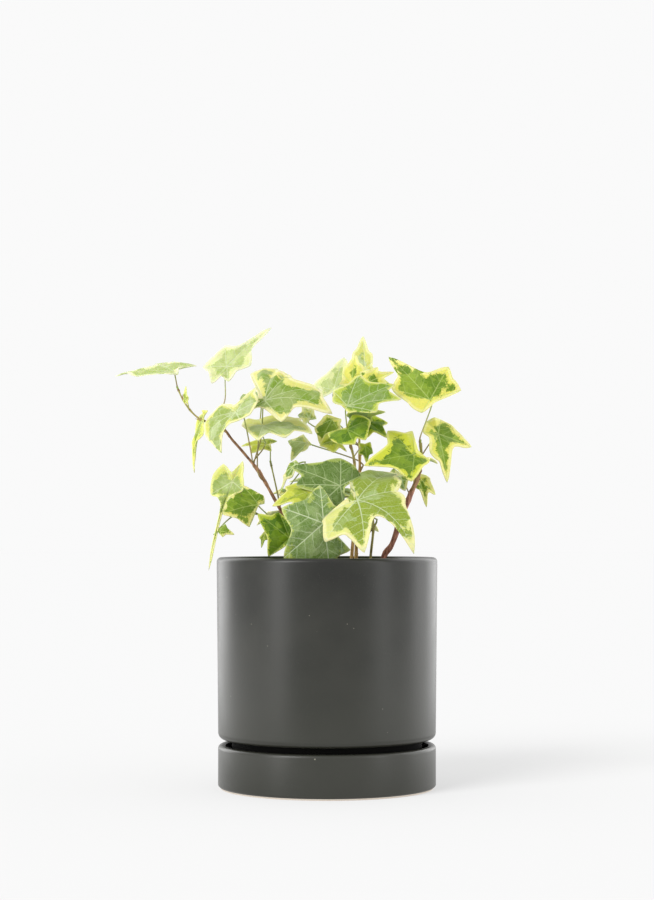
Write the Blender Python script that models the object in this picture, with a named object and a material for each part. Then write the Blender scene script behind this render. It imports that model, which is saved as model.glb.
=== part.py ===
"""Variegated ivy in a matte charcoal ceramic pot, standing on its saucer.

Lengths below are in millimetres and are turned into metres where a mesh is made.
The origin is the centre of the saucer's underside. +Z is up, -Y is the side that most
of the leaves face, and +X is to the right as seen from there.
"""

import math
from collections import namedtuple

import bmesh
import bpy
from mathutils import Matrix, Vector

MM = 0.001
CLEAR = 0.3          # between pieces that touch
MERGE = 1e-6         # metres, for joining a rod's caps to its side
SLIVER = 2e-7        # metres, the shortest edge that a Boolean may leave
TURNED_SIDES = 40    # round the pot, the saucer and the soil
SHARP_EDGE = 40.0    # degrees, past which shading breaks

# Saucer
SAUCER_RADIUS = 59.0
SAUCER_HEIGHT = 23.5
SAUCER_WALL = 4.5
SAUCER_FLOOR = 6.0
SAUCER_RIM_ROUND = 2.0
SAUCER_BASE_ROUND = 1.6

# Pot: a cylinder over a narrower foot, which stands inside the saucer
POT_TOP_RADIUS = 60.0
POT_BOTTOM_RADIUS = 59.0
POT_TOP = 124.7
POT_WALL = 5.0
POT_WALL_BOTTOM = 26.6
POT_BOTTOM_ROUND = 3.5
POT_FOOT_RADIUS = 51.5
POT_FLOOR = 7.0
DRAIN_RADIUS = 6.0

# Soil
SOIL_TOP = 112.0
SOIL_RINGS = 4
SOIL_UNEVEN = 1.2
SOIL_WAVES = ((2, 1.0, 0.6), (3, 0.7, 2.0))  # waves a turn, share of the height, shift
STEM_BURIED = 20.0
STEM_HOLE_CLEAR = 0.7

# Leaves
BLADE_THICK = 0.7
FLANK_STEPS = 2
BLADE_RINGS = 2
SMALL_BLADE_RINGS = 1
SMALL_LEAF = 25.0
SINUS_DEPTH = 0.7
NOTCH_DEPTH = 0.09
FLANK_BELLY = 0.06
LOBE_PUCKER = 0.05
USUAL_LOBES = ((48, 0.76), (-48, 0.76), (118, 0.5), (-118, 0.5))

# Petioles and stems
PETIOLE_ROOT_RADIUS = 0.75
PETIOLE_TIP_RADIUS = 0.6
PETIOLE_SPACING = 11.0
PETIOLE_SIDES = 4
PETIOLE_REACH = 0.3    # past the middle of the blade
PETIOLE_EASE = 0.16    # share of its span over which it turns at either end
PETIOLE_UNDER = 0.5    # how it comes in under the blade: along it, and from below
PETIOLE_BELOW = 0.85
ROOT_SUNK = 1.1
STEM_SPACING = 9.0
STEM_SIDES = 6
PRISM_SHARE = math.cos(math.pi / STEM_SIDES)

# A leaf: where its petiole meets the blade, the tip of its main lobe, the direction
# that its upper face looks in, and the other lobes as (angle from the main lobe,
# length), counted to the left as seen from above. A third number is how far out the
# sinus beside that lobe lies, as a share of the lobes. Then the main lobe's bend in
# degrees, how far its vein bows to the left, how high the petiole leaves the stem, a
# place that the petiole passes on its way, and how far out the notch at the petiole
# lies, as a share of the main vein.
Leaf = namedtuple("Leaf", "joint tip face lobes bend bow root via notch")
# A stem: where it stands in the soil, its path above, and its radius low and high.
Stem = namedtuple("Stem", "foot path radii leaves")


def leaf(joint, tip, face, lobes=USUAL_LOBES, bend=18, bow=0, root=None, via=None,
         notch=NOTCH_DEPTH):
    return Leaf(Vector(joint), Vector(tip), Vector(face), lobes, bend, bow, root, via, notch)


STEMS = {
    "stem_left_long": Stem(
        foot=(-8, 10),
        path=((-15, 8, 131), (-29, 2, 157), (-37, 1, 171), (-45, 0, 181), (-52, 1, 189),
              (-56, 4, 194), (-64, 9, 198), (-72, 14, 202), (-79, 18, 210), (-83, 22, 218)),
        radii=(1.5, 0.7),
        leaves=(
            # high on the far left
            leaf((-86, 25, 228), (-119, 33, 226), (0, -4, 10),
                 ((22, 20, 0.95), (130, 6, 0.75), (-50, 24, 0.45), (-112, 22, 0.6))),
            # a young one just under it
            leaf((-78, 16, 211), (-78, 15, 219), (-8, -6, 2),
                 ((60, 3), (150, 3), (-60, 3), (-150, 3)), root=206),
            # pale, facing forward, its long lobe up to the right
            leaf((-57, 45, 232), (-32, 60, 256), (-1, -8, 7),
                 ((47, 16, 0.5), (118, 15), (178, 13, 0.75), (-52, 14, 0.62), (-133, 10)), root=194,
                 via=(-57, 22, 211), notch=0.2),
            # drooping, under it
            leaf((-49, -10, 203), (-57, -14, 181), (-5, -8, 4),
                 ((60, 8, 0.55), (140, 13, 0.95), (179, 20, 0.9), (-36, 20, 0.95), (-69, 19, 0.95),
                  (-108, 15, 0.9)), bend=25, bow=-4, root=172, via=(-41, -4, 180), notch=0.2),
            # hanging, seen on edge
            leaf((-68, 11, 202), (-73, 8, 171), (-10, -3, 2),
                 ((42, 15), (120, 6), (-42, 15), (-120, 6)), root=200),
            # large, its main lobe arching over to the right
            leaf((-34, 0, 210), (3, -10, 202), (0, -8, 6),
                 ((24, 29, 0.94), (80, 23, 0.7), (103, 34, 0.88), (129, 43, 0.9),
                  (-135, 14, 0.38), (-50, 22)), bend=30, bow=4, root=170, via=(-36, 3, 190)),
            # flat, under the large one
            leaf((-35, 0, 196), (-8, -5, 192), (0, -4, 9),
                 ((64, 32, 0.75), (112, 30), (150, 17, 0.9), (-85, 17), (-38, 20, 0.85)), bend=22,
                 root=173, via=(-34, 6, 186), notch=0.35),
            # behind the large one
            leaf((-36, 34, 214), (-30, 60, 217), (0, -3, 9), root=165),
        ),
    ),
    "stem_left_inner": Stem(
        foot=(-18, 24),
        path=((-23, 19, 136), (-27, 14, 158), (-31, 16, 176)),
        radii=(1.1, 0.8),
        leaves=(
            leaf((-33, 26, 187), (-48, 30, 186), (-2, -4, 9)),
            # folded, seen on edge
            leaf((-17, -10, 175), (-26, -9, 158), (-8, -5, 3),
                 ((30, 8), (100, 4), (-30, 8), (-100, 4)), root=150),
        ),
    ),
    "stem_centre_front": Stem(
        foot=(15, 1),
        path=((16, 1, 130), (16, 1, 155), (15, 0, 176), (12, -1, 189)),
        radii=(1.6, 0.9),
        leaves=(
            # the top leaf of the middle, facing forward
            leaf((11, -15, 206), (40, -15, 210), (-1, -7, 6),
                 ((24, 30, 0.82), (71, 26, 0.72), (113, 17), (140, 10, 0.85), (-130, 2),
                  (-28, 17, 0.75))),
            leaf((11, -5, 194), (21, -12, 188), (-2, -7, 6),
                 ((68, 14, 0.9), (123, 14, 0.9), (-150, 12, 0.9), (-30, 12, 0.8)), root=178),
            leaf((6, 12, 189), (-4, 12, 186), (-2, -7, 6),
                 ((-60, 10, 0.85), (-135, 8), (63, 9, 0.9), (110, 9)), root=184),
            # seen from underneath
            leaf((14, 8, 201), (32, 4, 204), (0, 5, 8),
                 ((48, 13), (118, 5), (-48, 13), (-118, 5))),
            leaf((22, 12, 199), (33, 6, 190), (1, -7, 6)),
            leaf((21, 16, 186), (22, 15, 176), (3, -9, 2),
                 ((45, 6), (120, 4), (-45, 6), (-120, 4)), root=176),
        ),
    ),
    "stem_centre_back": Stem(
        foot=(13, 22),
        path=((15, 22, 140), (18, 20, 168), (18, 23, 192), (18, 32, 208)),
        radii=(1.4, 0.9),
        leaves=(
            # yellow edged, upright
            leaf((14, 25, 221), (16, 33, 238), (-4, -8, 4),
                 ((42, 10, 0.85), (85, 8), (-42, 11, 0.85), (-110, 6)), root=200),
            # the highest, at the back
            leaf((22, 58, 232), (21, 71, 252), (-1, -8, 5),
                 ((48, 10, 0.8), (110, 8), (-48, 6, 0.7), (-110, 6))),
            leaf((21, 14, 220), (37, 18, 227), (1, -7, 6),
                 ((33, 14), (80, 10), (-30, 14), (-110, 8)), root=204),
            # pale, far back
            leaf((4, 62, 220), (10, 76, 240), (-2, -8, 6),
                 ((80, 14.5, 0.6), (130, 8), (-40, 18, 0.85), (-120, 8)), root=204),
            leaf((3, 23, 201), (-4, 18, 187), (-2, -8, 5),
                 ((-42, 11, 0.9), (-115, 5), (50, 12, 0.9), (115, 5)), root=182),
            leaf((-11, 30, 188), (-20, 28, 178), (-3, -8, 5),
                 ((-68, 13), (-115, 8), (40, 4), (110, 3)), root=172),
            leaf((-10, 32, 202), (-14, 36, 210), (-2, -9, 4),
                 ((45, 7), (120, 4), (-45, 7), (-120, 4)), root=180),
        ),
    ),
    "stem_right": Stem(
        foot=(29, 1),
        path=((31, 1, 125), (35, 0, 131), (38, -1, 139), (39.5, -1, 146), (42.5, -1, 151),
              (45.5, -1, 159), (49.5, 0, 168), (51.5, 1, 178), (51, 0, 187)),
        radii=(1.8, 0.9),
        leaves=(
            # top right, facing forward
            leaf((56, -5, 210), (34, 12, 235), (-1, -8, 6),
                 ((-62, 25, 0.54), (-103, 19, 0.85), (34, 22, 0.75), (113, 9, 0.78))),
            # right, drooping
            leaf((61, 5, 192), (65, -8, 165), (4, -8, 5),
                 ((75, 21, 0.45), (158, 12), (-154, 10, 0.95), (-95, 9), (-30, 15, 0.85)), root=177,
                 notch=0.35),
            # middle right, its long lobe to the left
            leaf((47, -15, 180), (20, -21, 174), (0, -7, 6),
                 ((-73, 24, 0.6), (-108, 21, 0.75), (148, 9), (67, 19)), root=166),
            leaf((51, 25, 169), (55, 16, 152), (2, -8, 5),
                 ((30, 14), (100, 5), (-35, 7), (-120, 4)), root=160),
            leaf((40, 4, 169), (33, -1, 159), (-1, -8, 5), root=156),
            # on the far side
            leaf((46, 32, 180), (50, 58, 177), (1, 3, 9), root=168),
        ),
    ),
    "stem_front": Stem(
        foot=(23, -12),
        path=((23.5, -12, 125), (25, -13, 143), (22, -16, 156)),
        radii=(1.3, 0.9),
        leaves=(
            # the front leaf, its main lobe down over the rim
            leaf((16, -38, 155), (45, -58, 127), (0, -8, 6),
                 ((68, 20, 0.7), (116, 46, 0.92), (151, 39, 0.88), (-80, 32, 0.85), (-42, 38, 0.48),
                  (-115, 16, 0.95)), bend=40, bow=5),
            # the big leaf that leans on the rim
            leaf((-2, -38, 143), (-24, -40, 151), (-2, -9, 3),
                 ((62, 28), (120, 22, 0.95), (160, 21, 0.9), (-68, 21), (-140, 12)), root=140),
            # upright behind it
            leaf((7, -22, 163), (-19, -22, 173), (-2, -8, 6),
                 ((-74, 18), (-125, 15, 0.95), (24, 24, 0.85), (68, 17, 0.8), (118, 17, 0.9))),
            # yellow, between the two
            leaf((-8, -28, 160), (-29, -30, 152), (-2, -6, 8), root=152),
        ),
    ),
    "stem_left_low": Stem(
        foot=(-16, -12),
        path=((-20, -13, 130), (-28, -14, 144)),
        radii=(1.2, 0.9),
        leaves=(
            # dark, at the rim
            leaf((-20, -28, 135), (-37, -28, 148), (1, -9, 2),
                 ((80, 15, 0.66), (-31, 15, 0.85), (-90, 8)), root=124),
            # three lobed, out to the left
            leaf((-37, -16, 153), (-56, -22, 148), (1, -7, 7),
                 ((54, 17, 0.88), (-84, 20, 0.75), (-172, 4, 0.62)), notch=0.03),
            # hanging over the rim
            leaf((-50, -32, 165), (-62, -42, 118), (-2, -9, 2),
                 ((-44, 13, 0.37), (-139, 12, 0.87), (62, 8, 0.3), (172, 13, 0.6)), bend=12, bow=-1,
                 root=138, via=(-43, -8, 152)),
            # a very young one behind it
            leaf((-57, -34, 139), (-49, -34, 137), (-1, -9, 4),
                 ((65, 5), (-50, 4)), root=141, via=(-48, -16, 148)),
            # another, hanging behind the dark one
            leaf((-33, -23, 138), (-35, -24, 130), (-3, -8, 2),
                 ((40, 4), (-40, 4)), root=132),
        ),
    ),
    "stem_back": Stem(
        foot=(-4, 36),
        path=((-5, 38, 130), (-4, 42, 146)),
        radii=(1.2, 0.9),
        leaves=(
            leaf((-20, 54, 150), (-27, 82, 138), (-2, 5, 9)),
            leaf((9, 56, 148), (14, 86, 134), (2, 5, 9)),
            leaf((-4, 48, 166), (-8, 76, 168), (0, 2, 9)),
            leaf((14, 40, 158), (18, 60, 162), (2, 2, 9), root=140),
            leaf((-18, 38, 162), (-22, 60, 161), (-2, 3, 9), root=142),
        ),
    ),
}


def clear_scene():
    for old in list(bpy.data.objects):
        bpy.data.objects.remove(old, do_unlink=True)


def material(name, colour, roughness):
    made = bpy.data.materials.new(name)
    made.use_nodes = True
    shader = made.node_tree.nodes["Principled BSDF"]
    shader.inputs["Base Color"].default_value = (*colour, 1.0)
    shader.inputs["Roughness"].default_value = roughness
    shader.inputs["Metallic"].default_value = 0.0
    return made


def add_object(name, bm, look):
    """Turn millimetres into metres and link the mesh as an object."""
    bmesh.ops.scale(bm, verts=bm.verts, vec=Vector((MM, MM, MM)))
    mesh = bpy.data.meshes.new(name)
    bm.to_mesh(mesh)
    bm.free()
    made = bpy.data.objects.new(name, mesh)
    bpy.context.scene.collection.objects.link(made)
    mesh.materials.append(look)
    return made


# Turned pieces

def arc(centre, radius, start, end, steps):
    """Profile points along an arc, from one angle to another in degrees."""
    points = []
    for step in range(steps + 1):
        angle = math.radians(start + (end - start) * step / steps)
        points.append((centre[0] + radius * math.cos(angle), centre[1] + radius * math.sin(angle)))
    return points


def turned(name, profile, look, ring):
    """Spin a (radius, height) profile round the Z axis.

    A ring's profile closes on itself. Otherwise flat discs close its two ends.
    """
    bm = bmesh.new()
    verts = [bm.verts.new((radius, 0.0, height)) for radius, height in profile]
    for here, after in zip(verts, verts[1:] + verts[:1] if ring else verts[1:]):
        bm.edges.new((here, after))
    bmesh.ops.spin(bm, geom=bm.verts[:] + bm.edges[:], cent=(0, 0, 0), axis=(0, 0, 1),
                   angle=math.tau, steps=TURNED_SIDES, use_merge=True)
    bmesh.ops.holes_fill(bm, edges=bm.edges, sides=TURNED_SIDES)
    bmesh.ops.recalc_face_normals(bm, faces=bm.faces)
    made = add_object(name, bm, look)
    shade(made)
    return made


def shade(made):
    made.data.shade_smooth()
    made.data.set_sharp_from_angle(angle=math.radians(SHARP_EDGE))


def make_saucer(look):
    inner = SAUCER_RADIUS - SAUCER_WALL
    rim = SAUCER_RIM_ROUND
    base = SAUCER_BASE_ROUND
    profile = [(SAUCER_RADIUS - base, 0.0)]
    profile += arc((SAUCER_RADIUS - base, base), base, -45, 0, 1)
    profile += arc((SAUCER_RADIUS - rim, SAUCER_HEIGHT - rim), rim, 0, 90, 3)
    profile += arc((inner + rim, SAUCER_HEIGHT - rim), rim, 90, 180, 2)
    profile += [(inner, SAUCER_FLOOR)]
    return turned("saucer", profile, look, ring=False)


def pot_inner_radius():
    return POT_TOP_RADIUS - POT_WALL


def pot_floor_top():
    return SAUCER_FLOOR + CLEAR + POT_FLOOR


def make_pot(look):
    foot_bottom = SAUCER_FLOOR + CLEAR
    inner = pot_inner_radius()
    round_low = POT_BOTTOM_ROUND
    rim = POT_WALL / 2
    foot_inner = POT_FOOT_RADIUS - POT_WALL
    profile = [(DRAIN_RADIUS, foot_bottom), (POT_FOOT_RADIUS, foot_bottom),
               (POT_FOOT_RADIUS, POT_WALL_BOTTOM)]
    profile += arc((POT_BOTTOM_RADIUS - round_low, POT_WALL_BOTTOM + round_low), round_low,
                   -90, 0, 3)
    profile += arc((POT_TOP_RADIUS - rim, POT_TOP - rim), rim, 0, 180, 6)
    profile += [(inner, POT_WALL_BOTTOM + POT_WALL + CLEAR), (foot_inner, POT_WALL_BOTTOM),
                (foot_inner, pot_floor_top()), (DRAIN_RADIUS, pot_floor_top())]
    return turned("pot", profile, look, ring=True)


def soil_height(radius, angle):
    """Loose soil: low waves that die out at the pot's wall."""
    wave = sum(share * math.sin(count * angle + shift) for count, share, shift in SOIL_WAVES)
    return SOIL_TOP + SOIL_UNEVEN * wave * math.sin(math.pi * radius / pot_inner_radius())


def make_soil(look):
    """A plug that fills the pot, with a plain hole for each stem."""
    bm = bmesh.new()
    low = pot_floor_top() + CLEAR
    step_low = POT_WALL_BOTTOM + CLEAR
    step_high = POT_WALL_BOTTOM + POT_WALL + 2 * CLEAR
    outer = pot_inner_radius() - CLEAR
    foot = POT_FOOT_RADIUS - POT_WALL - CLEAR
    levels = [(foot, low), (foot, step_low), (outer, step_high)]
    levels += [(outer * ring / SOIL_RINGS, None) for ring in range(SOIL_RINGS, 0, -1)]
    loops = []
    for radius, height in levels:
        loop = bmesh.ops.create_circle(bm, radius=radius, segments=TURNED_SIDES)["verts"]
        for vert in loop:
            angle = math.atan2(vert.co.y, vert.co.x)
            vert.co.z = soil_height(radius, angle) if height is None else height
        loops.append(loop)
    for under, over in zip(loops, loops[1:]):
        for side in range(TURNED_SIDES):
            after = (side + 1) % TURNED_SIDES
            bm.faces.new((under[side], under[after], over[after], over[side]))
    bm.faces.new(loops[0])
    bm.faces.new(loops[-1])
    bmesh.ops.triangulate(bm, faces=[face for face in bm.faces if len(face.verts) == 4])
    bmesh.ops.recalc_face_normals(bm, faces=bm.faces)
    made = add_object("soil", bm, look)
    for stem in STEMS.values():
        cut_stem_hole(made, stem)
    return made


def cut_stem_hole(soil, stem):
    bm = bmesh.new()
    radius = stem.radii[0] + STEM_HOLE_CLEAR
    depth = 2 * STEM_BURIED
    centre = Matrix.Translation(Vector((*stem.foot, SOIL_TOP - CLEAR)))
    bmesh.ops.create_cone(bm, cap_ends=True, segments=STEM_SIDES, radius1=radius / PRISM_SHARE,
                          radius2=radius / PRISM_SHARE, depth=depth, matrix=centre)
    cutter = add_object("stem_hole_cutter", bm, soil.data.materials[0])
    cutter.hide_render = True
    cutter.display_type = "WIRE"
    cut = soil.modifiers.new("stem_hole", "BOOLEAN")
    cut.operation = "DIFFERENCE"
    cut.object = cutter
    apply_modifiers(soil)
    bpy.data.objects.remove(cutter, do_unlink=True)


def apply_modifiers(made):
    """Apply an object's modifiers, and clear away slivers that its Booleans left."""
    bpy.context.view_layer.update()
    graph = bpy.context.evaluated_depsgraph_get()
    mesh = bpy.data.meshes.new_from_object(made.evaluated_get(graph))
    made.modifiers.clear()
    bm = bmesh.new()
    bm.from_mesh(mesh)
    bmesh.ops.remove_doubles(bm, verts=bm.verts, dist=SLIVER)
    bmesh.ops.dissolve_degenerate(bm, edges=bm.edges, dist=SLIVER)
    bmesh.ops.triangulate(bm, faces=bm.faces)
    drop_scraps(bm)
    bm.to_mesh(mesh)
    bm.free()
    made.data = mesh


def drop_scraps(bm):
    """Keep the largest body, and drop the loose scraps that a Boolean can leave."""
    unseen = set(bm.verts)
    bodies = []
    while unseen:
        body = [unseen.pop()]
        for vert in body:
            joined = {edge.other_vert(vert) for edge in vert.link_edges} & unseen
            unseen -= joined
            body.extend(joined)
        bodies.append(body)
    largest = max(bodies, key=len)
    scraps = [vert for body in bodies if body is not largest for vert in body]
    bmesh.ops.delete(bm, geom=scraps, context="VERTS")


# Smooth paths and tubes

def smooth_path(points, spacing):
    """Points at even steps along a smooth curve through the given points."""
    points = [Vector(point) for point in points]
    padded = [2 * points[0] - points[1]] + points + [2 * points[-1] - points[-2]]
    made = [points[0]]
    for a, b, c, d in zip(padded, padded[1:], padded[2:], padded[3:]):
        steps = max(1, round((c - b).length / spacing))
        for step in range(1, steps + 1):
            u = step / steps
            made.append(0.5 * ((2 * b) + (c - a) * u + (2 * a - 5 * b + 4 * c - d) * u ** 2
                               + (3 * b - 3 * c + d - a) * u ** 3))
    return made


def place_at_height(points, height):
    """The point where a rising path reaches a height, and the direction there."""
    for here, after in zip(points, points[1:]):
        if here.z <= height <= after.z:
            share = (height - here.z) / (after.z - here.z)
            return here.lerp(after, share), (after - here).normalized()
    raise ValueError("the stem does not reach that height")


def tube(name, points, radii, sides, look):
    """A round rod along the points, thinning from one radius to the other."""
    curve = bpy.data.curves.new(name, "CURVE")
    curve.dimensions = "3D"
    curve.bevel_depth = MM
    curve.use_fill_caps = True
    curve.bevel_resolution = (sides - 4) // 2
    spline = curve.splines.new("POLY")
    spline.points.add(len(points) - 1)
    for index, point in enumerate(points):
        share = index / (len(points) - 1)
        spline.points[index].co = (*(point * MM), 1.0)
        spline.points[index].radius = radii[0] + (radii[1] - radii[0]) * share
    guide = bpy.data.objects.new(name, curve)
    bpy.context.scene.collection.objects.link(guide)
    bpy.context.view_layer.update()
    graph = bpy.context.evaluated_depsgraph_get()
    mesh = bpy.data.meshes.new_from_object(guide.evaluated_get(graph))
    bpy.data.objects.remove(guide, do_unlink=True)
    bm = bmesh.new()
    bm.from_mesh(mesh)
    bmesh.ops.remove_doubles(bm, verts=bm.verts, dist=MERGE)
    bm.to_mesh(mesh)
    bm.free()
    made = bpy.data.objects.new(name, mesh)
    bpy.context.scene.collection.objects.link(made)
    mesh.materials.clear()
    mesh.materials.append(look)
    return made


# Leaf blades

def blade_frame(one):
    """Along the main vein at the joint, to the left of it, the upper side, vein length."""
    chord = one.tip - one.joint
    along = chord.normalized()
    up = (one.face - one.face.dot(along) * along).normalized()
    half = math.radians(one.bend) / 2
    vein = along * math.cos(half) + up * math.sin(half)
    top = up * math.cos(half) - along * math.sin(half)
    length = chord.length * half / math.sin(half)
    return vein, top.cross(vein), top, length


def all_lobes(one):
    """Every lobe as (angle, length, sinus depth), in order round from the main lobe."""
    length = blade_frame(one)[3]
    sides = []
    for angle, size, *depth in one.lobes:
        size = size * length if one.lobes is USUAL_LOBES else size
        sides.append((angle % 360.0, size, depth[0] if depth else SINUS_DEPTH))
    return [(0.0, length, SINUS_DEPTH)] + sorted(sides)


def flank(tip, sinus, steps):
    """A lobe's edge, from its tip in to the sinus, bulging a little outwards."""
    points = []
    chord = (sinus[0] - tip[0], sinus[1] - tip[1])
    turn = 1.0 if tip[0] * sinus[1] - tip[1] * sinus[0] > 0 else -1.0
    middle = ((tip[0] + sinus[0]) / 2 + turn * FLANK_BELLY * chord[1],
              (tip[1] + sinus[1]) / 2 - turn * FLANK_BELLY * chord[0])
    for step in range(steps):
        u = step / steps
        points.append(tuple((1 - u) ** 2 * tip[i] + 2 * u * (1 - u) * middle[i]
                            + u ** 2 * sinus[i] for i in range(2)))
    return points


def polar(angle, size):
    return size * math.cos(math.radians(angle)), size * math.sin(math.radians(angle))


def outline(one, steps):
    """The blade's flat edge as (x along the main vein, y to its left, pucker)."""
    lobes = all_lobes(one)
    points = []
    for here, after in zip(lobes, lobes[1:] + [(360.0, *lobes[0][1:])]):
        angle, size, depth = here
        next_angle, next_size, next_depth = after
        if angle < 180.0 < next_angle:
            reach = one.notch * lobes[0][1]
        elif next_angle <= 180.0:
            reach = next_depth * (size + next_size) / 2
        else:
            reach = depth * (size + next_size) / 2
        sinus = polar((angle + next_angle) / 2, reach)
        going = flank(polar(angle, size), sinus, steps)
        coming = flank(polar(next_angle, next_size), sinus, steps)
        edge = going + [sinus] + coming[:0:-1]
        for index, (x, y) in enumerate(edge):
            pucker = math.sin(math.pi * index / (2 * steps)) ** 2
            points.append((x, y, pucker))
    return points


def blade_points(one, steps, rings):
    """The blade's middle surface: its joint, and rings of points out to its edge."""
    vein, left, top, length = blade_frame(one)
    curve = math.radians(one.bend) / length
    made = []
    for ring in range(1, rings + 1):
        share = ring / rings
        loop = []
        for x, y, pucker in outline(one, steps):
            along = max(0.0, x * share / length)
            across = y * share + 4 * one.bow * along * (1 - along)
            rise = LOBE_PUCKER * length * pucker * share ** 2
            reach = math.hypot(x * share, across)
            bent = math.sin(curve * reach) / curve / reach
            drop = (1 - math.cos(curve * reach)) / curve
            loop.append(one.joint + bent * (x * share * vein + across * left)
                        + (rise - drop) * top)
        made.append(loop)
    return made


def blade(name, one, look):
    """A thin closed blade, split into triangles alike on both faces."""
    length = blade_frame(one)[3]
    rings = SMALL_BLADE_RINGS if length < SMALL_LEAF else BLADE_RINGS
    loops = blade_points(one, FLANK_STEPS, rings)
    spokes = len(loops[0])
    top = blade_frame(one)[2]
    bm = bmesh.new()
    bmesh.ops.create_uvsphere(bm, u_segments=spokes, v_segments=2 * rings + 1, radius=1.0)
    place = {}
    for vert in bm.verts:
        latitude = round(math.acos(max(-1.0, min(1.0, vert.co.z))) / math.pi * (2 * rings + 1))
        turn = math.atan2(vert.co.y, vert.co.x) - math.pi / 2
        spoke = round(turn / math.tau * spokes) % spokes
        ring = min(latitude, 2 * rings + 1 - latitude)
        side = 1.0 if latitude <= rings else -1.0
        place[vert] = (ring, spoke, side)
    for vert, (ring, spoke, side) in place.items():
        if ring == 0:
            vert.co = one.joint + side * BLADE_THICK / 2 * top
            continue
        here = loops[ring - 1][spoke]
        inner = loops[ring - 2][spoke] if ring > 1 else one.joint
        outer = loops[min(ring, rings - 1)][spoke]
        across = loops[ring - 1][(spoke + 1) % spokes] - loops[ring - 1][spoke - 1]
        normal = (outer - inner).cross(across).normalized()
        vert.co = here + side * BLADE_THICK / 2 * normal
    for face in [face for face in bm.faces if len(face.verts) == 4]:
        split_alike(face, place, spokes)
    return add_object(name, bm, look)


def split_alike(face, place, spokes):
    """Split a quad from its inner corner on the earlier spoke to the opposite corner."""
    ends = sorted({place[vert][1] for vert in face.verts})
    early = ends[1] if ends[1] - ends[0] > 1 else ends[0]
    rank = sorted(face.verts, key=lambda vert: (place[vert][1] != early, place[vert][0],
                                                place[vert][2]))
    start = rank[0]
    corners = list(face.verts)
    bmesh.utils.face_split(face, start, corners[(corners.index(start) + 2) % 4])


def leafy_stem(name, stem, look):
    """One grown piece: the stem with its petioles and blades fused into it."""
    rooted = ((*stem.foot, SOIL_TOP - STEM_BURIED), (*stem.foot, SOIL_TOP))
    route = smooth_path(rooted + stem.path, STEM_SPACING)
    made = tube(name, route, stem.radii, STEM_SIDES, look)
    growth = bpy.data.collections.new(name + "_growth")
    bpy.context.scene.collection.children.link(growth)
    for order, one in enumerate(stem.leaves):
        root = one.root or route[-1].z - ROOT_SUNK * (1 + order)
        start, direction = place_at_height(route, root)
        vein, _, top, _ = blade_frame(one)
        finish = one.joint + PETIOLE_REACH * top
        ease = PETIOLE_EASE * (finish - start).length
        leave = start + ease * direction
        arrive = finish - ease * (PETIOLE_UNDER * vein + PETIOLE_BELOW * top)
        middle = [Vector(one.via)] if one.via else []
        petiole_path = smooth_path([start, leave] + middle + [arrive, finish], PETIOLE_SPACING)
        stalk = tube(name + "_petiole", petiole_path, (PETIOLE_ROOT_RADIUS, PETIOLE_TIP_RADIUS),
                     PETIOLE_SIDES, look)
        for made_part in (stalk, blade(name + "_blade", one, look)):
            bpy.context.scene.collection.objects.unlink(made_part)
            growth.objects.link(made_part)
    union = made.modifiers.new("fuse", "BOOLEAN")
    union.operation = "UNION"
    union.operand_type = "COLLECTION"
    union.collection = growth
    union.solver = "MANIFOLD"
    apply_modifiers(made)
    for part in list(growth.objects):
        bpy.data.objects.remove(part, do_unlink=True)
    bpy.data.collections.remove(growth)
    shade(made)


def main():
    clear_scene()
    charcoal = material("matte_charcoal_glaze", (0.03, 0.03, 0.028), 0.5)
    earth = material("potting_soil", (0.03, 0.02, 0.013), 0.95)
    leaf_green = material("ivy_leaf", (0.16, 0.3, 0.07), 0.45)
    make_saucer(charcoal)
    make_pot(charcoal)
    make_soil(earth)
    for name, stem in STEMS.items():
        leafy_stem(name, stem, leaf_green)


main()
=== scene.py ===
"""A variegated ivy in a matte charcoal pot on its saucer, dressed for the camera.

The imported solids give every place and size. Lengths below are in millimetres and are
turned into metres where a mesh is finished.
"""

import math
import random
from collections import namedtuple

import bmesh
import bpy
from mathutils import Matrix, Vector, geometry, noise


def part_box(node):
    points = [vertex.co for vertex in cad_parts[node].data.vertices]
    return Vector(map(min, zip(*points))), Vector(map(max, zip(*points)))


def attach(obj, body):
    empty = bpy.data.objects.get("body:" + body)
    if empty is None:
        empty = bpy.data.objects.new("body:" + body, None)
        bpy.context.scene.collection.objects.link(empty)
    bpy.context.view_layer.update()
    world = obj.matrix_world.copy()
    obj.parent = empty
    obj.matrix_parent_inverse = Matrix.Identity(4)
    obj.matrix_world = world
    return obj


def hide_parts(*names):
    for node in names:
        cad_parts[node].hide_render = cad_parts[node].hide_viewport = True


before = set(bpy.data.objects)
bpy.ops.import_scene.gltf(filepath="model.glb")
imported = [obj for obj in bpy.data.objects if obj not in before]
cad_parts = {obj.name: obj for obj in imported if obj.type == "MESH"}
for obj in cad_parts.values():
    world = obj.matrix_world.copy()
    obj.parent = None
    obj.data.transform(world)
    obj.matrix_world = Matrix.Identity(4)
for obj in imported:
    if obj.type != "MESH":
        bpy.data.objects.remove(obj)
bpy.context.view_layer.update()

# The saucer
# A thrown stoneware dish as wide as the pot, dipped in a matte charcoal glaze. It was
# fired on a bare, wiped foot, so a thin pale line of clay shows round its base.

MM = 0.001
TURN_STEPS = 144
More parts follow.
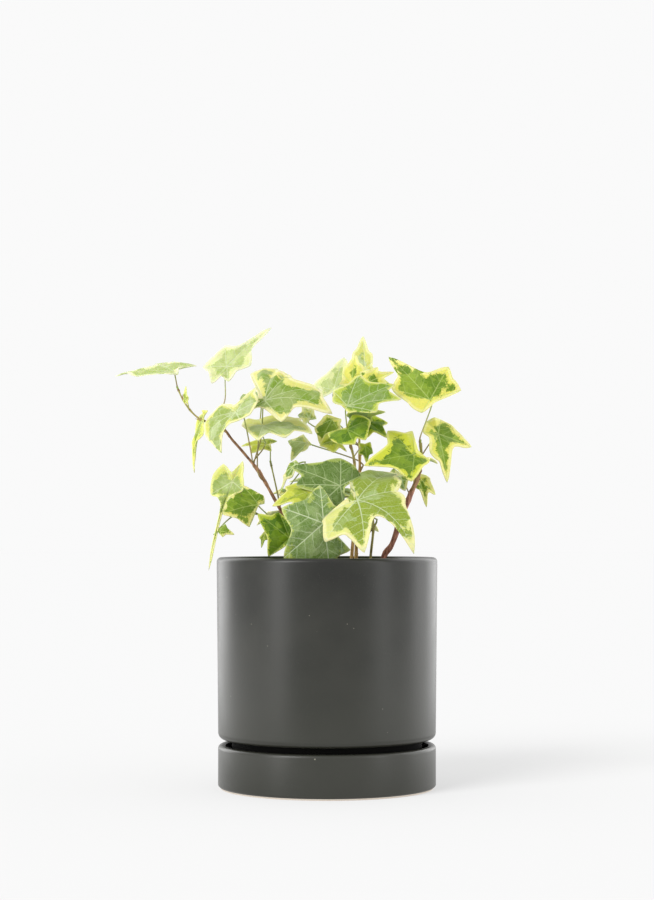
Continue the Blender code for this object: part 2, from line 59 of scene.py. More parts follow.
# painted light on the glaze: darker at the top, as shade under the leaves, and lighter
# towards the foot, as light from the floor; its tones at the top and at the foot, and the
# heights between which they change
GLAZE_SHADED_TOP = "#10110b"
GLAZE_LIT_FOOT = "#2a2b24"
PAINTED_LIGHT_HEIGHTS = (115.0, 32.0)
GLAZE_WORN = "#33332c"
PINHOLE = "#8d8a7c"
# near black painted shade for the gap between the pot and the saucer
GAP_SHADE_TONES = ("#0b0b0a", "#141412")
CLAY_TONES = ("#c9bcae", "#e6dccf")
SAUCER_WALL = 4.5
SAUCER_FLOOR = 6.0
SAUCER_RIM_ROUND = 2.0
FOOT_INSET = 1.6
FOOT_LINE = 0.9
FOOT_SLOPE = 0.55
EDGE_RISE = 1.2
SAUCER_EDGE_ROUND = 1.0
SAUCER_INNER_ROUND = 2.0
GLAZE_SPECK = (-6.2, -58.4, 21.4)
SPECK_RADIUS = 0.55
PIT_SPACING = 9.0
PIT_RADIUS = 0.3


def linear(hex_colour):
    """An sRGB hex colour as linear values, opaque."""
    values = [int(hex_colour[i:i + 2], 16) / 255 for i in (1, 3, 5)]
    return [v / 12.92 if v <= 0.04045 else ((v + 0.055) / 1.055) ** 2.4 for v in values] + [1.0]


def plug(node, inputs):
    """Set a node's inputs, each to a value or to another node's output."""
    for socket, value in inputs.items():
        if isinstance(value, bpy.types.NodeSocket):
            node.id_data.links.new(value, node.inputs[socket])
        else:
            node.inputs[socket].default_value = value


def add(tree, kind, inputs=(), out=0, **settings):
    """Add a node with its settings and its inputs, in order or by name, and give an output."""
    node = tree.nodes.new("ShaderNode" + kind)
    for name, value in settings.items():
        setattr(node, name, value)
    plug(node, inputs if isinstance(inputs, dict) else dict(enumerate(inputs)))
    return node.outputs[out]


def new_material(name):
    """A material with only its Principled shader, and that shader's node tree."""
    made = bpy.data.materials.new(name)
    made.use_nodes = True
    return made, made.node_tree, made.node_tree.nodes["Principled BSDF"]


def charcoal_glaze():
    """Matte stoneware glaze: near black, satin, with a fine dimpled skin and faint clouds, painted darker
    at the top as shade and lighter towards the foot as floor light.
    """
    made, tree, shader = new_material("matte_charcoal_stoneware_glaze")
    place = add(tree, "TexCoord", (), "Object")
    clouds, grains, skin = (
        add(tree, "TexNoise", {"Vector": place, "Scale": scale, "Detail": detail})
        for scale, detail in ((45.0, 3.0), (1400.0, 2.0), (700.0, 3.0)))
    height = add(tree, "SeparateXYZ", (place,), "Z")
    # painted light: the share of the lighter foot tone, from the painted shade at the top down to the
    # foot
    thin = add(tree, "MapRange", (height, PAINTED_LIGHT_HEIGHTS[0] * MM, PAINTED_LIGHT_HEIGHTS[1] * MM))
    grainy = add(tree, "MapRange", (grains, 0.62, 0.74, 0.0, 0.5))
    cloudy = add(tree, "MapRange", (clouds, 0.35, 0.75, 0.0, 0.35))
    worn = add(tree, "Math", (grainy, cloudy), operation="MAXIMUM")
    apart = add(tree, "VectorMath", (place, [value * MM for value in GLAZE_SPECK]), "Value",
                operation="DISTANCE")
    speck = add(tree, "MapRange", (apart, SPECK_RADIUS * MM, SPECK_RADIUS * MM / 2))
    pits = add(tree, "TexVoronoi", {"Vector": place, "Scale": 1 / (PIT_SPACING * MM)})
    pit = add(tree, "MapRange", (pits, PIT_RADIUS / PIT_SPACING, PIT_RADIUS / PIT_SPACING / 2,
                                 0.0, 0.6))
    marks = add(tree, "Math", (speck, pit), operation="MAXIMUM")
    tone = linear(GLAZE_SHADED_TOP)
    for share, colour in ((thin, GLAZE_LIT_FOOT), (worn, GLAZE_WORN), (marks, PINHOLE)):
        tone = add(tree, "Mix", {0: share, 6: tone, 7: linear(colour)}, 2, data_type="RGBA")
    dull = add(tree, "MapRange", (clouds, 0.0, 1.0, 0.3, 0.4))
    dimples = add(tree, "Bump", {"Height": skin, "Strength": 0.12, "Distance": 0.0002})
    plug(shader, {"Base Color": tone, "Roughness": dull, "Normal": dimples, "IOR": 1.48})
    return made


def two_toned(name, tones, grain, surface, spread=(0.0, 1.0), bump=(0.0, 0.0)):
    """A dull surface in two close tones, mixed by one noise that may also roughen it."""
    made, tree, shader = new_material(name)
    place = add(tree, "TexCoord", (), "Object")
    mottle = add(tree, "TexNoise", {"Vector": place, **grain})
    share = add(tree, "MapRange", (mottle, *spread))
    tone = add(tree, "Mix", {0: share, 6: linear(tones[0]), 7: linear(tones[1])}, 2,
               data_type="RGBA")
    skin = add(tree, "Bump", {"Height": mottle, "Strength": bump[0], "Distance": bump[1]})
    plug(shader, {"Base Color": tone, "Normal": skin, **surface})
    return made


def arc(centre, radius, start, end, steps):
    """Profile points along an arc, from one angle to another in degrees."""
    angles = [math.radians(start + (end - start) * step / steps) for step in range(steps + 1)]
    return [(centre[0] + radius * math.cos(a), centre[1] + radius * math.sin(a)) for a in angles]


def turned(profile, ring):
    """Spin a (radius, height) profile round the Z axis, and close its ends if it has any."""
    bm = bmesh.new()
    verts = [bm.verts.new((radius, 0.0, height)) for radius, height in profile]
    for here, after in zip(verts, verts[1:] + verts[:1] if ring else verts[1:]):
        bm.edges.new((here, after))
    bmesh.ops.spin(bm, geom=bm.verts[:] + bm.edges[:], cent=(0, 0, 0), axis=(0, 0, 1),
                   angle=math.tau, steps=TURN_STEPS, use_merge=True)
    bmesh.ops.holes_fill(bm, edges=bm.edges, sides=TURN_STEPS)
    bmesh.ops.recalc_face_normals(bm, faces=bm.faces)
    return bm


def place_object(name, data, location=(0.0, 0.0, 0.0), tilt=0.0, turn=0.0):
    """Make an object in the scene, tilted about X and then turned about Z, in degrees."""
    made = bpy.data.objects.new(name, data)
    made.location = location
    made.rotation_euler = (math.radians(tilt), 0.0, math.radians(turn))
    bpy.context.scene.collection.objects.link(made)
    return made


def finish_piece(name, bm, materials, node, sharp=40.0):
    """Turn a bmesh in millimetres into a smooth-shaded piece that stands for a node."""
    bmesh.ops.scale(bm, verts=bm.verts, vec=(MM, MM, MM))
    mesh = bpy.data.meshes.new(name)
    bm.to_mesh(mesh)
    bm.free()
    for material in materials:
        mesh.materials.append(material)
    mesh.shade_smooth()
    mesh.set_sharp_from_angle(angle=math.radians(sharp))
    piece = place_object(name, mesh)
    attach(piece, "root")
    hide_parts(node)
    return piece


glaze = charcoal_glaze()
# unglazed fired stoneware: pale, dry and slightly gritty
clay = two_toned("bare_fired_clay", CLAY_TONES, {"Scale": 900.0, "Detail": 4.0},
                 {"Roughness": 0.85}, bump=(0.3, 0.0003))
# near black on the pot's foot and inside the saucer: painted shade, so that the gap between pot and
# saucer reads black
gap_shade_black = two_toned("painted_gap_shade", GAP_SHADE_TONES, {"Scale": 250.0, "Detail": 3.0},
                 {"Roughness": 0.9, "Specular IOR Level": 0.1})
saucer_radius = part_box("saucer")[1].x / MM
saucer_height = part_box("saucer")[1].z / MM
saucer_inner = saucer_radius - SAUCER_WALL
saucer_profile = [(saucer_radius - FOOT_INSET, 0.0), (saucer_radius - FOOT_INSET * FOOT_SLOPE, FOOT_LINE)]
saucer_profile += arc((saucer_radius - SAUCER_EDGE_ROUND, FOOT_LINE + EDGE_RISE), SAUCER_EDGE_ROUND,
                      -40, 0, 5)
saucer_profile += arc((saucer_radius - SAUCER_RIM_ROUND, saucer_height - SAUCER_RIM_ROUND),
                      SAUCER_RIM_ROUND, 0, 90, 8)
saucer_profile += arc((saucer_inner + SAUCER_RIM_ROUND, saucer_height - SAUCER_RIM_ROUND),
                      SAUCER_RIM_ROUND, 90, 180, 8)
saucer_profile += arc((saucer_inner - SAUCER_INNER_ROUND, SAUCER_FLOOR + SAUCER_INNER_ROUND),
                      SAUCER_INNER_ROUND, 0, -90, 5)
saucer_mesh = turned(saucer_profile, ring=False)
# bare clay below the foot line; inside the rim, near black painted shade under the pot
for face in saucer_mesh.faces:
    middle = face.calc_center_median()
    if middle.z < FOOT_LINE:
        face.material_index = 1
    elif middle.xy.length < saucer_inner + SAUCER_RIM_ROUND / 3:
        face.material_index = 2
finish_piece("saucer_dish", saucer_mesh, [glaze, clay, gap_shade_black], "saucer")

# The pot
# A thrown cylinder in the same glaze, with a soft rounded rim, that steps in to a narrow
# foot. The foot stands inside the saucer, so a dark line parts the two from outside, and
# that shade is also painted near black on the foot and inside the saucer.

POT_WALL = 5.0
POT_WALL_BOTTOM = 26.6
POT_BOTTOM_RADIUS = 59.0
POT_BOTTOM_ROUND = 3.5
POT_FOOT_RADIUS = 51.5
POT_FOOT_ROUND = 1.0
POT_FLOOR = 7.0
DRAIN_RADIUS = 6.0

pot_low, pot_high = (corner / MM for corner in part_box("pot"))
pot_inner = pot_high.x - POT_WALL
foot_inner = POT_FOOT_RADIUS - POT_WALL
floor_top = pot_low.z + POT_FLOOR
pot_profile = [(DRAIN_RADIUS, pot_low.z)]
pot_profile += arc((POT_FOOT_RADIUS - POT_FOOT_ROUND, pot_low.z + POT_FOOT_ROUND), POT_FOOT_ROUND,
                   -90, 0, 4)
pot_profile += [(POT_FOOT_RADIUS, POT_WALL_BOTTOM)]
pot_profile += arc((POT_BOTTOM_RADIUS - POT_BOTTOM_ROUND, POT_WALL_BOTTOM + POT_BOTTOM_ROUND),
                   POT_BOTTOM_ROUND, -90, 0, 10)
pot_profile += arc((pot_high.x - POT_WALL / 2, pot_high.z - POT_WALL / 2), POT_WALL / 2, 0, 180, 18)
pot_profile += [(pot_inner, POT_WALL_BOTTOM + POT_WALL), (foot_inner, POT_WALL_BOTTOM),
                (foot_inner, floor_top), (DRAIN_RADIUS, floor_top)]
pot_mesh = turned(pot_profile, ring=True)
# the foot under the wall is near black: painted shade in the gap inside the saucer
for face in pot_mesh.faces:
    middle = face.calc_center_median()
    if middle.z < POT_WALL_BOTTOM + 0.1 and middle.xy.length > foot_inner:
        face.material_index = 1
finish_piece("pot_body", pot_mesh, [glaze, gap_shade_black], "pot")

# The soil
# Loose potting compost, mostly dark peat with crumbs of bark and a little white perlite.
# It fills the pot to just under the rim, and each stem stands in it.

SOIL_TOP = 112.0
SOIL_UNEVEN = 1.2
SOIL_WAVES = ((2, 1.0, 0.6), (3, 0.7, 2.0))
SOIL_GAP = 0.3
SOIL_RING = 1.4
SOIL_ROUGHNESS = 0.7
SOIL_LUMP = 4.0
LUMP_RISE = 0.15
LUMP_RAGGED = 0.16
CRUMBS = 1500
BARK_CHIPS = 46
PERLITE = 60
CRUMB_INSET = 2.0
# dry, crumbly matter: two tones, the size of its grain and its roughness
COMPOST = {"moist_peat_compost": (("#1f150e", "#4a3322"), 1.6, 0.92),
           "bark_crumbs": (("#3b2416", "#7a5236"), 0.9, 0.85),
           "white_perlite": (("#c9c4b8", "#f2efe6"), 0.5, 0.9)}


def soil_height(x, y):
    """Low waves that die out at the pot's wall."""
    angle = math.atan2(y, x)
    wave = sum(share * math.sin(count * angle + shift) for count, share, shift in SOIL_WAVES)
    return SOIL_TOP + SOIL_UNEVEN * wave * math.sin(math.pi * math.hypot(x, y) / pot_inner)


peat, bark_chip, perlite = (
    two_toned(name, tones, {"Scale": 1 / (grain * MM), "Detail": 5.0, "Roughness": 0.65},
              {"Roughness": roughness}, spread=(0.35, 0.68), bump=(0.6, grain * MM / 3))
    for name, (tones, grain, roughness) in COMPOST.items())
soil_outer = pot_inner - SOIL_GAP
soil_rings = round(soil_outer / SOIL_RING)
soil_profile = [(soil_outer * ring / soil_rings, SOIL_TOP) for ring in range(1, soil_rings + 1)]
soil_profile += [(soil_outer, POT_WALL_BOTTOM + POT_WALL + 2 * SOIL_GAP),
                 (foot_inner - SOIL_GAP, POT_WALL_BOTTOM + SOIL_GAP),
                 (foot_inner - SOIL_GAP, floor_top + SOIL_GAP)]
soil_mesh = turned(soil_profile, ring=False)
for vert in soil_mesh.verts:
    if vert.co.z > SOIL_TOP - 1:
        lump = noise.fractal(vert.co / SOIL_LUMP, 1.0, 2.0, 3)
        vert.co.z = soil_height(vert.co.x, vert.co.y) + SOIL_ROUGHNESS * lump
finish_piece("soil_bed", soil_mesh, [peat], "soil", sharp=60.0)

draw = random.Random(7)
crumb_mesh = bmesh.new()


def scatter(bm, count, sizes, flatness, index, divisions):
    """Angular lumps strewn over the soil and sunk almost half into it."""
    for _ in range(count):
        reach = (soil_outer - CRUMB_INSET) * math.sqrt(draw.random())
        turn = draw.uniform(0, math.tau)
        x, y = reach * math.cos(turn), reach * math.sin(turn)
        size = draw.uniform(*sizes)
        tilt = Matrix.Rotation(draw.uniform(0, math.tau), 4, "Z") @ Matrix.Rotation(
            draw.uniform(-0.5, 0.5), 4, "X")
        shape = Matrix.Diagonal((1.0, draw.uniform(0.55, 0.9), flatness, 1.0))
        where = Matrix.Translation((x, y, soil_height(x, y) + LUMP_RISE * size)) @ tilt @ shape
        lump = bmesh.ops.create_icosphere(bm, subdivisions=divisions, radius=size, matrix=where)
        for vert in lump["verts"]:
            vert.co += Vector([draw.uniform(-LUMP_RAGGED, LUMP_RAGGED) * size for _ in range(3)])
            for face in vert.link_faces:
                face.material_index = index


scatter(crumb_mesh, CRUMBS, (0.5, 1.4), 0.7, 0, 1)
scatter(crumb_mesh, BARK_CHIPS, (1.6, 3.2), 0.32, 1, 2)
scatter(crumb_mesh, PERLITE, (0.6, 1.3), 0.8, 2, 2)
finish_piece("soil_crumbs", crumb_mesh, [peat, bark_chip, perlite], "soil", sharp=25.0)

# The ivy's shape
# Eight rooted stems of a small-leaved variegated ivy. Each has woody bark, thin petioles
# and lobed leaves, and each leaf is known by its joint, its tip and the way it faces.

USUAL_LOBES = ((48, 0.76), (-48, 0.76), (118, 0.5), (-118, 0.5))
SINUS_DEPTH = 0.7
NOTCH_DEPTH = 0.09
PETIOLE_EASE = 0.16
PETIOLE_UNDER = 0.5
PETIOLE_BELOW = 0.85
ROOT_SUNK = 1.1
STEM_BURIED = 20.0

# A leaf: where its petiole meets the blade, the tip of its main lobe, the direction that
# its upper face looks in, its other lobes as (angle to the left of the main lobe, length,
# how far out the sinus beside it lies), the main lobe's bend in degrees, how far its vein
# bows to the left, how high the petiole leaves the stem, a place that the petiole passes,
# how far out the notch at the petiole lies as a share of the main vein, the leaf's look,
# and its yellow margin as a width and any number of (extra width, angle of the extra).
Leaf = namedtuple("Leaf", "joint tip face lobes bend bow root via notch look gold")
Stem = namedtuple("Stem", "foot path radii bark leaves")


def leaf(joint, tip, face, lobes=USUAL_LOBES, bend=18, bow=0, root=None, via=None,
         notch=NOTCH_DEPTH, look="grey", gold=(1.5,)):
    return Leaf(Vector(joint), Vector(tip), Vector(face), lobes, bend, bow, root, via, notch,
                look, gold)


STEMS = {}
STEMS["stem_left_long"] = Stem(
    foot=(-8, 10),
    path=((-15, 8, 131), (-29, 2, 157), (-37, 1, 171), (-45, 0, 181), (-52, 1, 189),
          (-56, 4, 194), (-64, 9, 198), (-72, 14, 202), (-79, 18, 210), (-83, 22, 218)),
    radii=(1.5, 0.7), bark="red",
    leaves=(
        # high on the far left
        leaf((-86, 25, 228), (-119, 33, 226), (0, -4, 10),
             ((22, 20, 0.95), (130, 6, 0.75), (-50, 24, 0.45), (-112, 22, 0.6)), look="pale",
             gold=(0.6,)),
        # a young one just under it
        leaf((-78, 16, 211), (-78, 15, 219), (-8, -6, 2), ((60, 3), (150, 3), (-60, 3), (-150, 3)),
             root=206, look="young", gold=(0.6,)),
        # pale, facing forward, its long lobe up to the right
        leaf((-57, 45, 232), (-32, 60, 256), (-1, -8, 7),
             ((47, 16, 0.5), (118, 15), (178, 13, 0.75), (-52, 14, 0.62), (-133, 10)), root=194,
             via=(-57, 22, 211), notch=0.2, look="pale", gold=(2, (2, 120))),
        # drooping, under it
        leaf((-49, -10, 203), (-57, -14, 181), (-5, -8, 4),
             ((60, 8, 0.55), (140, 13, 0.95), (179, 20, 0.9), (-36, 20, 0.95), (-69, 19, 0.95),
              (-108, 15, 0.9)), bend=25, bow=-4, root=172, via=(-41, -4, 180), notch=0.2, look="soft",
             gold=(2.2,)),
        # hanging, seen on edge
        leaf((-68, 11, 202), (-73, 8, 171), (-10, -3, 2), ((42, 15), (120, 6), (-42, 15), (-120, 6)),
             root=200, look="young", gold=(3,)),
        # large, its main lobe arching over to the right
        leaf((-34, 0, 210), (3, -10, 202), (0, -8, 6),
             ((24, 29, 0.94), (80, 23, 0.7), (103, 34, 0.88), (129, 43, 0.9), (-135, 14, 0.38),
              (-50, 22)), bend=30, bow=4, root=170, via=(-36, 3, 190), look="arching",
             gold=(1.2, (3.5, 125), (1.5, 60), (2, 0))),
        # flat, under the large one
        leaf((-35, 0, 196), (-8, -5, 192), (0, -4, 9),
             ((64, 32, 0.75), (112, 30), (150, 17, 0.9), (-85, 17), (-38, 20, 0.85)), bend=22, root=173,
             via=(-34, 6, 186), notch=0.35, look="soft", gold=(2, (8, 120), (12, 62))),
        # behind the large one
        leaf((-36, 34, 214), (-30, 60, 217), (0, -3, 9), root=165, look="grey", gold=(2,)),
    ),
)
STEMS["stem_left_inner"] = Stem(
    foot=(-18, 24),
    path=((-23, 19, 136), (-27, 14, 158), (-31, 16, 176)),
    radii=(1.1, 0.8), bark="olive",
    leaves=(
        leaf((-33, 26, 187), (-48, 30, 186), (-2, -4, 9), look="young", gold=(1.5, (3, 0))),
        # folded, seen on edge
        leaf((-17, -10, 175), (-26, -9, 158), (-8, -5, 3), ((30, 8), (100, 4), (-30, 8), (-100, 4)),
             root=150, look="grey", gold=(1,)),
    ),
)
STEMS["stem_centre_front"] = Stem(
    foot=(15, 1),
    path=((16, 1, 130), (16, 1, 155), (15, 0, 176), (12, -1, 189)),
    radii=(1.6, 0.9), bark="tan",
    leaves=(
        # the top leaf of the middle, facing forward
        leaf((11, -15, 206), (40, -15, 210), (-1, -7, 6),
             ((24, 30, 0.82), (71, 26, 0.72), (113, 17), (140, 10, 0.85), (-130, 2), (-28, 17, 0.75)),
             look="leafy", gold=(0.9, (4, 130))),
        leaf((11, -5, 194), (21, -12, 188), (-2, -7, 6),
             ((68, 14, 0.9), (123, 14, 0.9), (-150, 12, 0.9), (-30, 12, 0.8)), root=178, look="dark",
             gold=(1.2, (4, 170))),
        leaf((6, 12, 189), (-4, 12, 186), (-2, -7, 6),
             ((-60, 10, 0.85), (-135, 8), (63, 9, 0.9), (110, 9)), root=184, look="young",
             gold=(2, (4, -90))),
        # seen from underneath
        leaf((14, 8, 201), (32, 4, 204), (0, 5, 8), ((48, 13), (118, 5), (-48, 13), (-118, 5)),
             look="dark", gold=(0.8,)),
        leaf((22, 12, 199), (33, 6, 190), (1, -7, 6), look="dark", gold=(1.6,)),
        leaf((21, 16, 186), (22, 15, 176), (3, -9, 2), ((45, 6), (120, 4), (-45, 6), (-120, 4)), root=176,
             look="dark", gold=(1,)),
    ),
)
STEMS["stem_centre_back"] = Stem(
    foot=(13, 22),
    path=((15, 22, 140), (18, 20, 168), (18, 23, 192), (18, 32, 208)),
    radii=(1.4, 0.9), bark="tan",
    leaves=(
        # yellow edged, upright
        leaf((14, 25, 221), (16, 33, 238), (-4, -8, 4),
             ((42, 10, 0.85), (85, 8), (-42, 11, 0.85), (-110, 6)), root=200, look="green",
             gold=(3, (3, 30))),
        # the highest, at the back
        leaf((22, 58, 232), (21, 71, 252), (-1, -8, 5),
             ((48, 10, 0.8), (110, 8), (-48, 6, 0.7), (-110, 6)), look="soft", gold=(4,)),
        leaf((21, 14, 220), (37, 18, 227), (1, -7, 6), ((33, 14), (80, 10), (-30, 14), (-110, 8)),
             root=204, look="green", gold=(2.5,)),
        # pale, far back
        leaf((4, 62, 220), (10, 76, 240), (-2, -8, 6),
             ((80, 14.5, 0.6), (130, 8), (-40, 18, 0.85), (-120, 8)), root=204, look="pale", gold=(3,)),
        leaf((3, 23, 201), (-4, 18, 187), (-2, -8, 5),
             ((-42, 11, 0.9), (-115, 5), (50, 12, 0.9), (115, 5)), root=182, look="green",
             gold=(1, (3, 90))),
        leaf((-11, 30, 188), (-20, 28, 178), (-3, -8, 5), ((-68, 13), (-115, 8), (40, 4), (110, 3)),
             root=172, look="soft", gold=(2,)),
        leaf((-10, 32, 202), (-14, 36, 210), (-2, -9, 4), ((45, 7), (120, 4), (-45, 7), (-120, 4)),
             root=180, look="soft", gold=(1,)),
    ),
)
STEMS["stem_right"] = Stem(
    foot=(29, 1),
    path=((31, 1, 125), (35, 0, 131), (38, -1, 139), (39.5, -1, 146), (42.5, -1, 151),
          (45.5, -1, 159), (49.5, 0, 168), (51.5, 1, 178), (51, 0, 187)),
    radii=(1.8, 0.9), bark="peeling",
    leaves=(
        # top right, facing forward
        leaf((56, -5, 210), (34, 12, 235), (-1, -8, 6),
             ((-62, 25, 0.54), (-103, 19, 0.85), (34, 22, 0.75), (113, 9, 0.78)), look="green",
             gold=(1.1, (7, 80), (2.5, -95))),
        # right, drooping
        leaf((61, 5, 192), (65, -8, 165), (4, -8, 5),
             ((75, 21, 0.45), (158, 12), (-154, 10, 0.95), (-95, 9), (-30, 15, 0.85)), root=177,
             notch=0.35, look="green", gold=(2.2, (2, -60), (2, -150))),
        # middle right, its long lobe to the left
        leaf((47, -15, 180), (20, -21, 174), (0, -7, 6),
             ((-73, 24, 0.6), (-108, 21, 0.75), (148, 9), (67, 19)), root=166, look="fresh",
             gold=(2.1, (2.5, -60))),
        leaf((51, 25, 169), (55, 16, 152), (2, -8, 5), ((30, 14), (100, 5), (-35, 7), (-120, 4)),
             root=160, look="green", gold=(1.5,)),
        leaf((40, 4, 169), (33, -1, 159), (-1, -8, 5), root=156, look="grey", gold=(1,)),
        # on the far side
        leaf((46, 32, 180), (50, 58, 177), (1, 3, 9), root=168, look="green", gold=(2.5,)),
    ),
)
STEMS["stem_front"] = Stem(
    foot=(23, -12),
    path=((23.5, -12, 125), (25, -13, 143), (22, -16, 156)),
    radii=(1.3, 0.9), bark="olive",
    leaves=(
        # the front leaf, its main lobe down over the rim
        leaf((16, -38, 155), (45, -58, 127), (0, -8, 6),
             ((68, 20, 0.7), (116, 46, 0.92), (151, 39, 0.88), (-80, 32, 0.85), (-42, 38, 0.48),
              (-115, 16, 0.95)), bend=40, bow=5, look="front", gold=(0.8, (5, -95), (1.5, 60))),
        # the big leaf that leans on the rim
        leaf((-2, -38, 143), (-24, -40, 151), (-2, -9, 3),
             ((62, 28), (120, 22, 0.95), (160, 21, 0.9), (-68, 21), (-140, 12)), root=140, look="veined",
             gold=(0.8,)),
        # upright behind it
        leaf((7, -22, 163), (-19, -22, 173), (-2, -8, 6),
             ((-74, 18), (-125, 15, 0.95), (24, 24, 0.85), (68, 17, 0.8), (118, 17, 0.9)), look="olive",
             gold=(0.4,)),
        # yellow, between the two
        leaf((-8, -28, 160), (-29, -30, 152), (-2, -6, 8), root=152, look="young", gold=(4,)),
    ),
)
STEMS["stem_left_low"] = Stem(
    foot=(-16, -12),
    path=((-20, -13, 130), (-28, -14, 144)),
    radii=(1.2, 0.9), bark="olive",
    leaves=(
        # dark, at the rim
        leaf((-20, -28, 135), (-37, -28, 148), (1, -9, 2), ((80, 15, 0.66), (-31, 15, 0.85), (-90, 8)),
             root=124, look="dark", gold=(0.5, (1, 80))),
        # three lobed, out to the left
        leaf((-37, -16, 153), (-56, -22, 148), (1, -7, 7),
             ((54, 17, 0.88), (-84, 20, 0.75), (-172, 4, 0.62)), notch=0.03, look="green",
             gold=(0.3, (1, 58))),
        # hanging over the rim
        leaf((-50, -32, 165), (-62, -42, 118), (-2, -9, 2),
             ((-44, 13, 0.37), (-139, 12, 0.87), (62, 8, 0.3), (172, 13, 0.6)), bend=12, bow=-1, root=138,
             via=(-43, -8, 152), look="cream", gold=(0.8, (3, 172), (3, -120), (1.5, 90))),
        # a very young one behind it
        leaf((-57, -34, 139), (-49, -34, 137), (-1, -9, 4), ((65, 5), (-50, 4)), root=141,
             via=(-48, -16, 148), look="green", gold=(0.5,)),
        # another, hanging behind the dark one
        leaf((-33, -23, 138), (-35, -24, 130), (-3, -8, 2), ((40, 4), (-40, 4)), root=132, look="young",
             gold=(0.5,)),
    ),
)
STEMS["stem_back"] = Stem(
    foot=(-4, 36),
    path=((-5, 38, 130), (-4, 42, 146)),
    radii=(1.2, 0.9), bark="olive",
    leaves=(
        leaf((-20, 54, 150), (-27, 82, 138), (-2, 5, 9), look="grey", gold=(2, (6, 60))),
        leaf((9, 56, 148), (14, 86, 134), (2, 5, 9), look="green", gold=(3, (4, -80))),
        leaf((-4, 48, 166), (-8, 76, 168), (0, 2, 9), look="veined", gold=(2.5,)),
        leaf((14, 40, 158), (18, 60, 162), (2, 2, 9), root=140, look="grey", gold=(1.5, (5, 100))),
        leaf((-18, 38, 162), (-22, 60, 161), (-2, 3, 9), root=142, look="green", gold=(2,)),
    ),
)


def smooth_path(points, spacing):
    """Points at even steps along a smooth curve through the given points."""
    points = [Vector(point) for point in points]
    padded = [2 * points[0] - points[1]] + points + [2 * points[-1] - points[-2]]
    made = [points[0]]
    for a, b, c, d in zip(padded, padded[1:], padded[2:], padded[3:]):
        steps = max(1, round((c - b).length / spacing))
        for step in range(1, steps + 1):
            u = step / steps
            made.append(0.5 * ((2 * b) + (c - a) * u + (2 * a - 5 * b + 4 * c - d) * u ** 2
                               + (3 * b - 3 * c + d - a) * u ** 3))
    return made


def place_at_height(points, height):
    """The point where a rising path reaches a height, and the direction there."""
    for here, after in zip(points, points[1:]):
        if here.z <= height <= after.z:
            share = (height - here.z) / (after.z - here.z)
            return here.lerp(after, share), (after - here).normalized()
    raise ValueError("the stem does not reach that height")


def blade_frame(one):
    """Along the main vein at the joint, to the left of it, the upper side, vein length."""
    chord = one.tip - one.joint
    along = chord.normalized()
    up = (one.face - one.face.dot(along) * along).normalized()
    half = math.radians(one.bend) / 2
    vein = along * math.cos(half) + up * math.sin(half)
    top = up * math.cos(half) - along * math.sin(half)
    return vein, top.cross(vein), top, chord.length * half / math.sin(half)


def rod(bm, points, radii, sides):
    """A round rod along the points, made by extruding a ring from each to the next."""
    heading = (points[1] - points[0]).normalized()
    turn = heading.to_track_quat("Z", "Y").to_matrix().to_4x4()
    start = bmesh.ops.create_circle(bm, cap_ends=True, segments=sides, radius=radii[0],
                                    matrix=Matrix.Translation(points[0]) @ turn)["verts"]
    edges = [edge for edge in bm.edges if all(vert in start for vert in edge.verts)]
    for index in range(1, len(points)):
        made = bmesh.ops.extrude_edge_only(bm, edges=edges)["geom"]
        ring = [item for item in made if isinstance(item, bmesh.types.BMVert)]
        edges = [item for item in made if isinstance(item, bmesh.types.BMEdge)
                 and all(vert in ring for vert in item.verts)]
        last = points[min(index + 1, len(points) - 1)]
        after = (last - points[index - 1]).normalized()
        move = (Matrix.Translation(points[index])
                @ heading.rotation_difference(after).to_matrix().to_4x4()
                @ Matrix.Scale(radii[index] / radii[index - 1], 4)
                @ Matrix.Translation(-points[index - 1]))
        bmesh.ops.transform(bm, matrix=move, verts=ring)
        heading = after
    bmesh.ops.contextual_create(bm, geom=edges)


# The stems
# Woody ivy stems, thin and a little crooked, thicker where a petiole leaves them. The bark
# is brown and peeling at the foot of the old ones, and olive on the young.

STEM_SPACING = 1.8
STEM_SIDES = 14
STEM_LUMPS = 0.12
LUMP_LENGTH = 5.0
NODE_SWELL = 0.45
NODE_REACH = 1.7
BUD_SIZE = (0.55, 0.55, 1.5)
BUD_LEAN = 0.3
FLAKE_RADII = (0.34, 0.3, 0.2, 0.07)
FLAKE_LENGTHS = (2.0, 4.5)
FLAKE_LIFTS = (0.1, 0.8)
BARKS = {
    # dark tone, light tone, how lumpy, how many loose flakes, how thick against the solid
    "red": ("#5c3828", "#b08660", 1.0, 6, 0.78),
    "peeling": ("#643628", "#b8806a", 2.2, 14, 1.06),
    "tan": ("#7a5826", "#d0ac64", 1.0, 3, 0.74),
    "olive": ("#5c5428", "#9c9450", 0.8, 1, 0.66),
}
YOUNG_BARK = "#8d8f44"
BUD_GREENS = ("#7d8b3c", "#b5c76a")
# how much the grain is squeezed along the stem, so that its strips run long
GRAIN_STRETCH = 0.82
# the stems thin by this share over their last stretch, which starts at the other
TIP_THINNING, TIP_START = 0.3, 0.6
# a stub on the front stem, where a leaf was lost
STUB_RADII = (0.7, 0.6, 0.2)
STUB = ((24.2, -12.8, 140.2), (22.9, -13.1, 138.4), (22.1, -13.4, 136.6))


def along_grain(tree, direction):
    """Object coordinates in millimetres, drawn out along one direction."""
    place = add(tree, "TexCoord", (), "Object")
    spot = add(tree, "VectorMath", {0: place, "Scale": 1 / MM}, operation="SCALE")
    share = add(tree, "VectorMath", (spot, direction), "Value", operation="DOT_PRODUCT")
    pulled = add(tree, "VectorMath", {0: list(direction), "Scale": share}, operation="SCALE")
    return add(tree, "VectorMath", (pulled, [-GRAIN_STRETCH] * 3, spot), operation="MULTIPLY_ADD")


